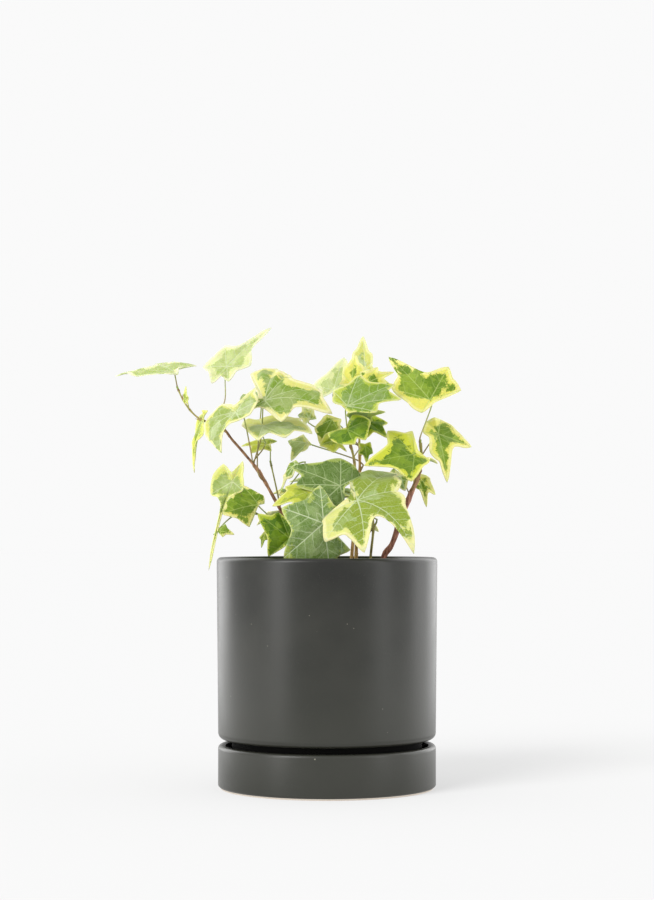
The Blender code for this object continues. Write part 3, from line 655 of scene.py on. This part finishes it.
def bark(name, kind, direction):
    """Thin ivy bark: matte, split into fine strips that run along the stem."""
    dark, light = BARKS[kind][:2]
    made, tree, shader = new_material(name)
    strips = add(tree, "TexNoise", {"Vector": along_grain(tree, direction), "Scale": 1.1,
                                    "Detail": 4.0, "Roughness": 0.6})
    spread = add(tree, "MapRange", (strips, 0.36, 0.66))
    run = add(tree, "Attribute", (), "Fac", attribute_name="run")
    young = add(tree, "MapRange", (run, 0.7, 0.95, 0.0, 0.8))
    tone = linear(dark)
    for share, colour in ((spread, light), (young, YOUNG_BARK)):
        tone = add(tree, "Mix", {0: share, 6: tone, 7: linear(colour)}, 2, data_type="RGBA")
    ridges = add(tree, "Bump", {"Height": strips, "Strength": 0.7, "Distance": 0.0004})
    plug(shader, {"Base Color": tone, "Roughness": 0.72, "Normal": ridges})
    return made


def young_green(name, root, end):
    """Soft green shoots, often flushed red towards the stem: smooth and slightly waxy."""
    made, tree, shader = new_material(name)
    run = add(tree, "Attribute", (), "Fac", attribute_name="run")
    place = add(tree, "TexCoord", (), "Object")
    blush = add(tree, "TexNoise", {"Vector": place, "Scale": 90.0, "Detail": 2.0})
    share = add(tree, "Math", (run, blush), operation="ADD")
    share = add(tree, "MapRange", (share, 0.55, 1.25))
    tone = add(tree, "Mix", {0: share, 6: linear(root), 7: linear(end)}, 2, data_type="RGBA")
    plug(shader, {"Base Color": tone, "Roughness": 0.45, "Subsurface Weight": 0.15,
                  "Subsurface Scale": 0.0006})
    return made


def stem_route(stem):
    """The stem's smooth middle line, from inside the soil up."""
    rooted = ((*stem.foot, SOIL_TOP - STEM_BURIED), (*stem.foot, SOIL_TOP))
    return smooth_path(rooted + stem.path, STEM_SPACING)


def petiole_roots(stem, route):
    """Where each leaf's petiole leaves the stem, and the stem's direction there."""
    return [place_at_height(route, one.root or route[-1].z - ROOT_SUNK * (1 + order))
            for order, one in enumerate(stem.leaves)]


def stem_radii(stem, route, roots, lumpy, girth):
    """Thinning upwards, swollen at each petiole, and a little uneven between."""
    radii = []
    for index, point in enumerate(route):
        share = index / (len(route) - 1)
        swell = sum(math.exp(-((point - root).length / NODE_REACH) ** 2) for root, _ in roots)
        lump = STEM_LUMPS * lumpy * noise.noise(point / LUMP_LENGTH)
        thin = girth * (1 - TIP_THINNING * max(0.0, share - TIP_START) / (1 - TIP_START))
        radii.append((stem.radii[0] + (stem.radii[1] - stem.radii[0]) * share) * thin
                     * (1 + NODE_SWELL * min(1.0, swell) * (0.4 + 0.6 * share) + lump))
    return radii


def add_flakes(bm, route, radii, count):
    """Loose strips of bark that have sprung away from the stem."""
    above = [index for index, point in enumerate(route[:-4]) if point.z > SOIL_TOP + 4]
    for _ in range(count):
        index = draw.choice(above)
        point, heading = route[index], (route[index + 1] - route[index]).normalized()
        out = heading.orthogonal().normalized()
        out.rotate(Matrix.Rotation(draw.uniform(0, math.tau), 3, heading))
        long = draw.uniform(*FLAKE_LENGTHS)
        lift = draw.uniform(*FLAKE_LIFTS)
        rod(bm, [point + out * (radii[index] * 0.8) + heading * long * step
                 + out * lift * step ** 2 for step in (0.0, 0.35, 0.7, 1.0)], FLAKE_RADII, 5)


def add_bud(bm, tip, heading, index):
    """Three small overlapping scales at the end of a shoot."""
    for turn in range(3):
        lean = Matrix.Rotation(BUD_LEAN, 4, "X")
        place = (Matrix.Translation(tip + 0.5 * heading)
                 @ heading.to_track_quat("Z", "Y").to_matrix().to_4x4()
                 @ Matrix.Rotation(math.tau * turn / 3, 4, "Z") @ lean
                 @ Matrix.Diagonal((*BUD_SIZE, 1.0)))
        scale = bmesh.ops.create_uvsphere(bm, u_segments=10, v_segments=8, radius=1.0,
                                          matrix=place)
        for vert in scale["verts"]:
            for face in vert.link_faces:
                face.material_index = index


bud_skin = young_green("young_ivy_shoot", *BUD_GREENS)
for node, stem in STEMS.items():
    route = stem_route(stem)
    roots = petiole_roots(stem, route)
    _, _, lumpy, flakes, girth = BARKS[stem.bark]
    radii = stem_radii(stem, route, roots, lumpy, girth)
    bark_mesh = bmesh.new()
    run = bark_mesh.verts.layers.float.new("run")
    rod(bark_mesh, route, radii, STEM_SIDES)
    for offset, vert in enumerate(bark_mesh.verts):
        vert[run] = offset // STEM_SIDES / (len(route) - 1)
    add_flakes(bark_mesh, route, radii, flakes)
    if node == "stem_front":
        rod(bark_mesh, [Vector(point) for point in STUB], STUB_RADII, 8)
    add_bud(bark_mesh, route[-1], (route[-1] - route[-2]).normalized(), 1)
    bmesh.ops.recalc_face_normals(bark_mesh, faces=bark_mesh.faces)
    lie = (route[-1] - route[0]).normalized()
    finish_piece(node + "_bark", bark_mesh, [bark(stem.bark + "_ivy_bark", stem.bark, lie), bud_skin],
                 node, sharp=60.0)

# The petioles
# Each leaf hangs on its own thin stalk, flared where it leaves the stem and again where it
# meets the blade. They are flushed red on the old stems and green on the young ones.

PETIOLE_SPACING = 1.6
PETIOLE_SIDES = 10
PETIOLE_RADIUS = 0.36
PETIOLE_FLARE = 0.42
BLADE_FLARE = 0.126
FLARE_FADE = 14
PETIOLE_REACH = 0.1
# the petioles' tones at the stem and at the blade, on each kind of stem
FLUSHES = {"red": ("#7c5230", "#8e9848"), "peeling": ("#80603a", "#9ca858"),
           "tan": ("#86703a", "#8f9a48"), "olive": ("#6e6a30", "#8a9a44")}


def petiole_path(one, start, direction):
    """A stalk that leaves along the stem and arrives under the blade."""
    vein, _, top, _ = blade_frame(one)
    finish = one.joint + PETIOLE_REACH * top
    ease = PETIOLE_EASE * (finish - start).length
    leave = start + ease * direction
    arrive = finish - ease * (PETIOLE_UNDER * vein + PETIOLE_BELOW * top)
    middle = [Vector(one.via)] if one.via else []
    return smooth_path([start, leave] + middle + [arrive, finish], PETIOLE_SPACING)


stalk_skins = {kind: young_green(kind + "_stem_petiole", *tones) for kind, tones in FLUSHES.items()}
for node, stem in STEMS.items():
    stalk_mesh = bmesh.new()
    run = stalk_mesh.verts.layers.float.new("run")
    for one, (start, direction) in zip(stem.leaves, petiole_roots(stem, stem_route(stem))):
        path = petiole_path(one, start, direction)
        shares = [index / (len(path) - 1) for index in range(len(path))]
        radii = [PETIOLE_RADIUS + PETIOLE_FLARE * math.exp(-share * FLARE_FADE)
                 + BLADE_FLARE * math.exp((share - 1) * FLARE_FADE) for share in shares]
        old = len(stalk_mesh.verts)
        rod(stalk_mesh, path, radii, PETIOLE_SIDES)
        stalk_mesh.verts.ensure_lookup_table()
        for offset, vert in enumerate(stalk_mesh.verts[old:]):
            vert[run] = min(1.0, offset // PETIOLE_SIDES / (len(path) - 1))
    bmesh.ops.recalc_face_normals(stalk_mesh, faces=stalk_mesh.faces)
    finish_piece(node + "_petioles", stalk_mesh, [stalk_skins[stem.bark]], node, sharp=60.0)

# The leaves
# Small lobed blades, thin and leathery, with palmate veins. The middle is grey-green to
# green in angular patches, and a ragged yellow to cream margin runs round the edge.

FLANK_STEPS = 8
FLANK_BELLY = 0.11
SINUS_ROUND = 0.2
NOTCH_ROUND = 0.1
BLADE_RINGS = 12
BLADE_LAYERS = ("gold", "rim", "rib_along", "rib_away")
BLADE_THICK = 0.45
RING_SPREAD = 0.85
LOBE_PUCKER = 0.05
# how high the blade quilts up beside a rib, how far from it, and then its ripples' and its
# edge's waves: each height and length
QUILT, QUILT_REACH = 0.3, 1.6
RIPPLE, RIPPLE_LENGTH = 0.3, 5.0
EDGE_WAVE, EDGE_LENGTH = 0.7, 9.0
LEAF_SPACING = 9.0
PATCH_SIZE = 6.5
PATCH_BEND = 5.0
# where the margin starts on the sum of its width and its noises, which average this much
MARGIN_START = 7.01
SIDE_VEIN_GAP = 5.4
SIDE_VEIN_START = 1.4
SIDE_VEIN_WIDTHS = (0.162, 0.405)
NET_SIZE = 1.9
UNDERSIDE = "#bccb94"
LOOKS = {
    # middle, deep patches, margin, outermost edge, veins, how strongly the veins show, how
    # wide the pale outermost edge is and how much of the blade the deep patches take
    "front": ("#a3b774", "#8ea22c", "#dcde82", "#efeaa8", "#d9e4bc", 0.75, 1.8, 0.36),
    "grey": ("#9fb47c", "#7f9c30", "#b4c03c", "#efeaa8", "#d6e2b4", 0.8, 2.6, 0.2),
    "veined": ("#94ab68", "#728f44", "#acbd52", "#d8dc8e", "#d4e0b6", 0.95, 0.6, 0.0),
    "olive": ("#76904a", "#5f7c30", "#9cae50", "#c6cf82", "#bccb94", 0.8, 0.5, 0.0),
    "green": ("#92ac30", "#688a14", "#e6e068", "#f0ea9c", "#c6d67c", 0.55, 1.6, 0.05),
    "dark": ("#84a422", "#567c12", "#b0c22c", "#dfe07a", "#b4c868", 0.45, 0.7, 0.05),
    "fresh": ("#7d9a1e", "#5c7e10", "#cdd23c", "#e8e684", "#b4c868", 0.5, 1.1, 0.2),
    "leafy": ("#92a866", "#7a9a28", "#b4c23c", "#e4e48e", "#d2deac", 0.65, 0.9, 0.26),
    "arching": ("#97aa5c", "#7b9a24", "#dcd878", "#f0eab2", "#d8e2b2", 0.6, 1.8, 0.02),
    "soft": ("#b8c68a", "#9aae54", "#d8d870", "#efedae", "#dfe8bc", 0.6, 1.4, 0.0),
    "young": ("#aebb3c", "#8ca024", "#ccd24a", "#e8e78a", "#d2dc90", 0.45, 0.8, 0.1),
    "pale": ("#cad492", "#b4c472", "#e2e6a6", "#f1f1cc", "#e8eed0", 0.4, 1.2, 0.0),
    "cream": ("#b2c37c", "#96aa50", "#d8da70", "#e8e896", "#dfe6b4", 0.55, 1.3, 0.05),
}


def leaf_skin(name, look, underside):
    """A variegated ivy leaf: satin above and duller and paler below, with pale raised veins."""
    middle, deep, margin, rim, vein, strength, rim_width, deep_share = LOOKS[look]
    made, tree, shader = new_material(name)
    gold, edge, along, away = (add(tree, "Attribute", (), "Fac", attribute_name=kept)
                               for kept in BLADE_LAYERS)
    place = add(tree, "TexCoord", (), "Object")
    spot = add(tree, "VectorMath", {0: place, "Scale": 1 / MM}, operation="SCALE")
    drift, fine, broad = (
        add(tree, "TexNoise", {"Vector": spot, "Scale": scale, "Detail": detail})
        for scale, detail in ((0.35, 3.0), (1.3, 3.0), (0.14, 1.0)))

    # the deep patches are angular and crowd towards the edge
    bent = add(tree, "VectorMath", (drift.node.outputs["Color"], [PATCH_BEND] * 3, spot),
               operation="MULTIPLY_ADD")
    cells = add(tree, "TexVoronoi", {"Vector": bent, "Scale": 1 / PATCH_SIZE}, "Color")
    cell = add(tree, "SeparateColor", (cells,))
    patches = add(tree, "MapRange", (edge, 8.0, 1.5, deep_share, deep_share + 0.3))
    for source, weight in ((cell, 0.75), (drift, 0.6)):
        patches = add(tree, "Math", (source, weight, patches), operation="MULTIPLY_ADD")
    patches = add(tree, "MapRange", (patches, 0.55, 1.0))

    # the margin follows the edge, but steps in and out between the side veins
    reach = gold
    for source, weight in ((cell, 3.0), (fine, 3.2), (broad, 8.5)):
        reach = add(tree, "Math", (source, weight, reach), operation="MULTIPLY_ADD")
    inside = add(tree, "MapRange", (reach, MARGIN_START - 0.4, MARGIN_START + 0.5))
    outermost = add(tree, "Math", (edge, fine), operation="ADD")
    outermost = add(tree, "MapRange", (outermost, rim_width + 0.9, rim_width))
    cream = add(tree, "Math", (inside, outermost), operation="MULTIPLY")

    # the palmate main veins thin outwards, side veins leave them at a slant, and a faint net
    # fills what lies between
    width = add(tree, "MapRange", (along, 0.0, 34.0, 0.42, 0.1))
    main = add(tree, "Math", (away, width), operation="DIVIDE")
    main = add(tree, "MapRange", (main, 0.5, 1.3, 1.0, 0.0))
    slant = SIDE_VEIN_START
    for source, weight in ((along, 1.0), (away, -0.8), (drift, 2.6)):
        slant = add(tree, "Math", (source, weight, slant), operation="MULTIPLY_ADD")
    apart = add(tree, "Math", (slant, SIDE_VEIN_GAP / 2), operation="PINGPONG")
    lines = add(tree, "MapRange", (apart, *SIDE_VEIN_WIDTHS, 1.0, 0.0))
    fading = add(tree, "MapRange", (away, 0.5, 11.0, 0.6, 0.12))
    side = add(tree, "Math", (lines, fading), operation="MULTIPLY")
    net = add(tree, "TexVoronoi", {"Vector": spot, "Scale": 1 / NET_SIZE}, feature="DISTANCE_TO_EDGE")
    net = add(tree, "MapRange", (net, 0.02, 0.12, 0.16, 0.0))
    veins = add(tree, "Math", (main, side), operation="MAXIMUM")
    veins = add(tree, "Math", (veins, net), operation="MAXIMUM")
    shown = add(tree, "Math", (veins, strength), operation="MULTIPLY")

    layers = [(patches, deep), (inside, margin), (cream, rim), (shown, vein)]
    tone = linear(middle)
    for share, colour in layers + ([(0.38, UNDERSIDE)] if underside else []):
        tone = add(tree, "Mix", {0: share, 6: tone, 7: linear(colour)}, 2, data_type="RGBA")
    dapple = add(tree, "MapRange", (fine, 0.3, 0.7, 0.725, 0.845))
    tone = add(tree, "VectorMath", {0: tone, "Scale": dapple}, operation="SCALE")
    gloss = 0.7 if underside else add(tree, "MapRange", (fine, 0.3, 0.7, 0.4, 0.52))
    relief = add(tree, "Bump", {"Height": veins, "Strength": 0.45, "Distance": 0.0003},
                 invert=not underside)
    plug(shader, {"Base Color": tone, "Roughness": gloss, "Normal": relief, "IOR": 1.42,
                  "Specular IOR Level": 0.3, "Subsurface Weight": 0.3,
                  "Subsurface Radius": (0.7, 1.0, 0.3), "Subsurface Scale": 0.001})
    return made


def all_lobes(one):
    """Every lobe as (angle, length, sinus depth), in order round from the main lobe."""
    length = blade_frame(one)[3]
    sides = []
    for angle, size, *depth in one.lobes:
        size = size * length if one.lobes is USUAL_LOBES else size
        sides.append((angle % 360.0, size, depth[0] if depth else SINUS_DEPTH))
    return [(0.0, length, SINUS_DEPTH)] + sorted(sides)


def polar(angle, size):
    """A flat point at an angle in degrees to the left of the main lobe."""
    return Vector((size * math.cos(math.radians(angle)), size * math.sin(math.radians(angle))))


def flank(tip, sinus, roundness):
    """A lobe's edge from its tip in to the sinus: it swells, then rounds into the sinus."""
    chord = sinus - tip
    side = 1.0 if tip.x * sinus.y - tip.y * sinus.x > 0 else -1.0
    narrow = min(1.0, 2 * abs(tip.x * sinus.y - tip.y * sinus.x) / tip.length / chord.length)
    swell = tip + 0.35 * chord + FLANK_BELLY * narrow * side * Vector((chord.y, -chord.x))
    inward = sinus + roundness * chord.length * side * Vector((sinus.y, -sinus.x)).normalized()
    return [(1 - u) ** 3 * tip + 3 * u * (1 - u) ** 2 * swell + 3 * u ** 2 * (1 - u) * inward
            + u ** 3 * sinus for u in (step / FLANK_STEPS for step in range(FLANK_STEPS))]


def outline(one):
    """The blade's flat edge: its points, how far each is puckered, and its lobe's angle."""
    lobes = all_lobes(one)
    points = []
    for here, after in zip(lobes, lobes[1:] + [(360.0, *lobes[0][1:])]):
        angle, size, depth = here
        next_angle, next_size, next_depth = after
        notch = angle < 180.0 < next_angle
        if notch:
            reach = one.notch * lobes[0][1]
        elif next_angle <= 180.0:
            reach = next_depth * (size + next_size) / 2
        else:
            reach = depth * (size + next_size) / 2
        sinus = polar((angle + next_angle) / 2, reach)
        roundness = NOTCH_ROUND if notch else SINUS_ROUND
        going = flank(polar(angle, size), sinus, roundness)
        coming = flank(polar(next_angle, next_size), sinus, roundness)
        for index, point in enumerate(going + [sinus] + coming[:0:-1]):
            pucker = math.sin(math.pi * index / (2 * FLANK_STEPS)) ** 2
            points.append((point, pucker, angle if index <= FLANK_STEPS else next_angle))
    return points


def edge_distance(point, edge):
    """How far a flat point is from the blade's edge."""
    nearest = 1e9
    for here, after in zip(edge, edge[1:] + edge[:1]):
        foot, share = geometry.intersect_point_line(point, here, after)
        foot = here.lerp(after, min(1.0, max(0.0, share)))
        nearest = min(nearest, (point - foot).length)
    return nearest


def blade_mesh(one, number):
    """The blade's upper surface, with its distances to ribs and edge kept on each point."""
    vein, left, top, length = blade_frame(one)
    curve = math.radians(one.bend) / length
    edge = outline(one)
    flat_edge = [point for point, _, _ in edge]
    spokes = len(edge)
    bm = bmesh.new()
    gold, rim, along, away = (bm.verts.layers.float.new(kept) for kept in BLADE_LAYERS)
    bmesh.ops.create_grid(bm, x_segments=spokes, y_segments=BLADE_RINGS, size=1.0)
    margin, *patches = one.gold
    for vert in bm.verts:
        spoke = round((vert.co.x + 1) / 2 * spokes) % spokes
        share = (round((vert.co.y + 1) / 2 * BLADE_RINGS) / BLADE_RINGS) ** RING_SPREAD
        point, pucker, rib = edge[spoke]
        flat = point * share
        angle = math.radians(rib)
        vert[along] = flat.x * math.cos(angle) + flat.y * math.sin(angle)
        vert[away] = abs(flat.y * math.cos(angle) - flat.x * math.sin(angle))
        turn = math.degrees(math.atan2(flat.y, flat.x))
        wide = margin + sum(extra * max(0.0, math.cos(math.radians(turn - toward))) ** 3
                            for extra, toward in patches if share)
        vert[rim] = edge_distance(flat, flat_edge)
        vert[gold] = wide - vert[rim]
        forward = max(0.0, flat.x / length)
        across = flat.y + 4 * one.bow * forward * (1 - forward)
        place = Vector((flat.x, flat.y, LEAF_SPACING * number))
        rise = (LOBE_PUCKER * length * pucker * share ** 2
                + QUILT * (1 - math.exp(-(vert[away] / QUILT_REACH) ** 2))
                + RIPPLE * share * noise.noise(place / RIPPLE_LENGTH)
                + EDGE_WAVE * share ** 3 * noise.noise(place / EDGE_LENGTH))
        reach = max(1e-6, math.hypot(flat.x, across))
        bent_share = math.sin(curve * reach) / curve / reach
        drop = (1 - math.cos(curve * reach)) / curve
        vert.co = one.joint + bent_share * (flat.x * vein + across * left) + (rise - drop) * top
    bmesh.ops.remove_doubles(bm, verts=bm.verts, dist=1e-4)
    bmesh.ops.recalc_face_normals(bm, faces=bm.faces)
    if sum((face.normal * face.calc_area() for face in bm.faces), Vector()).dot(top) < 0:
        bmesh.ops.reverse_faces(bm, faces=bm.faces)
    return bm


skins = {look: (leaf_skin(look + "_ivy_leaf", look, False),
                leaf_skin(look + "_ivy_leaf_underside", look, True)) for look in LOOKS}
number = 0
for node, stem in STEMS.items():
    for order, one in enumerate(stem.leaves):
        number += 1
        blade = finish_piece(f"{node}_leaf_{order + 1}", blade_mesh(one, number),
                             list(skins[one.look]), node, sharp=180.0)
        body = blade.modifiers.new("thickness", "SOLIDIFY")
        body.thickness = BLADE_THICK * MM
        body.offset = 0.0
        body.material_offset = 1

# The stage
# A pale seamless floor under an even white sky. Softboxes stand round the pot and bounce
# cards lie beside it, all for the pot and the plant alone, while one lamp for the floor
# alone throws the soft shadow to the right.

WHITE = (1.0, 1.0, 1.0, 1.0)
FLOOR_RADIUS = 14.0
FLOOR_TONE = 0.25
FLOOR_GLOW = 0.569
SKY_STRENGTH = 0.955
BOX_DISTANCE = 1.6
TALL = (0.45, 2.0, 0.9, 90)
WIDE = (0.9, 2.0, 0.9, 90)
HIGH = (0.8, 0.8, 1.5, 48)
# width, height, how high its centre stands and its tilt, then degrees from the camera's
# side and radiance
BOXES = {"softbox_left": (TALL, -50, 3.4), "softbox_right": (TALL, 58, 1.8),
         "softbox_far_right": (TALL, 108, 1.8), "softbox_back_left": (WIDE, -136, 1.9),
         "softbox_back_right": (WIDE, 141, 1.55), "softbox_high_left": (HIGH, -47, 4.5)}
CARD_SIZE = (1.2, 1.6)
CARD_PLACE = (0.876, 0.408, 0.002)
CARD_TURN = 8.9
# the side that each card lies on, and its radiance
CARDS = {"bounce_card_left": (-1, 0.9), "bounce_card_right": (1, 0.65)}
SHADOW_LAMP = 2.8
SHADOW_SOFTNESS = 26
SHADOW_FROM = (-39, 41)

floor_mesh = bpy.data.meshes.new("studio_floor")
bm = bmesh.new()
bmesh.ops.create_circle(bm, cap_ends=True, segments=96, radius=FLOOR_RADIUS)
bm.to_mesh(floor_mesh)
bm.free()
# a white paper sweep, lit from under it so that it stays even
paper, _, shader = new_material("lit_white_paper_sweep")
plug(shader, {"Base Color": (FLOOR_TONE, FLOOR_TONE, FLOOR_TONE, 1.0), "Roughness": 1.0,
              "Specular IOR Level": 0.0, "Emission Color": WHITE, "Emission Strength": FLOOR_GLOW})
floor_mesh.materials.append(paper)
studio_floor = place_object("studio_floor", floor_mesh)

sky = bpy.data.worlds.new("studio_white")
sky.use_nodes = True
plug(sky.node_tree.nodes["Background"], {"Color": WHITE, "Strength": SKY_STRENGTH})
bpy.context.scene.world = sky

all_but_floor = bpy.data.collections.new("all_but_floor")
all_but_floor.objects.link(studio_floor)
all_but_floor.collection_objects[0].light_linking.link_state = "EXCLUDE"


def soft_light(name, width, height, radiance, place, tilt, turn):
    """A rectangle of light that leaves the floor alone, tilted up from facing straight down."""
    panel = bpy.data.lights.new(name, "AREA")
    panel.shape = "RECTANGLE"
    panel.size, panel.size_y = width, height
    panel.energy = 4 * radiance * width * height
    light = place_object(name, panel, place, tilt, turn)
    light.visible_camera = False
    light.light_linking.receiver_collection = all_but_floor


for name, ((width, height, centre, tilt), azimuth, radiance) in BOXES.items():
    turn = math.radians(azimuth)
    place = (BOX_DISTANCE * math.sin(turn), -BOX_DISTANCE * math.cos(turn), centre)
    soft_light(name, width, height, radiance, place, tilt, azimuth)
for name, (side, radiance) in CARDS.items():
    place = (side * CARD_PLACE[0], *CARD_PLACE[1:])
    soft_light(name, *CARD_SIZE, radiance, place, 180, -side * CARD_TURN)

lamp = bpy.data.lights.new("shadow_lamp", "SUN")
lamp.energy = SHADOW_LAMP
lamp.angle = math.radians(SHADOW_SOFTNESS)
shadow_lamp = place_object("shadow_lamp", lamp, tilt=90 - SHADOW_FROM[1], turn=SHADOW_FROM[0])
floor_alone = bpy.data.collections.new("floor_alone")
floor_alone.objects.link(studio_floor)
shadow_lamp.light_linking.receiver_collection = floor_alone

# The camera
# A short telephoto from just above the pot's rim, level with the leaves and tipped up a
# little, as the photograph was framed.

FOCAL_LENGTH = 84.0
SENSOR_HEIGHT = 36.0
CAMERA_PLACE = (0.0, -1.145, 0.1383)
CAMERA_PITCH = 2.24

lens = bpy.data.cameras.new("camera")
lens.sensor_fit = "VERTICAL"
lens.sensor_height = SENSOR_HEIGHT
lens.lens = FOCAL_LENGTH
camera = place_object("camera", lens, CAMERA_PLACE, tilt=90 + CAMERA_PITCH)
bpy.context.scene.camera = camera
bpy.context.scene.view_settings.view_transform = "Standard"
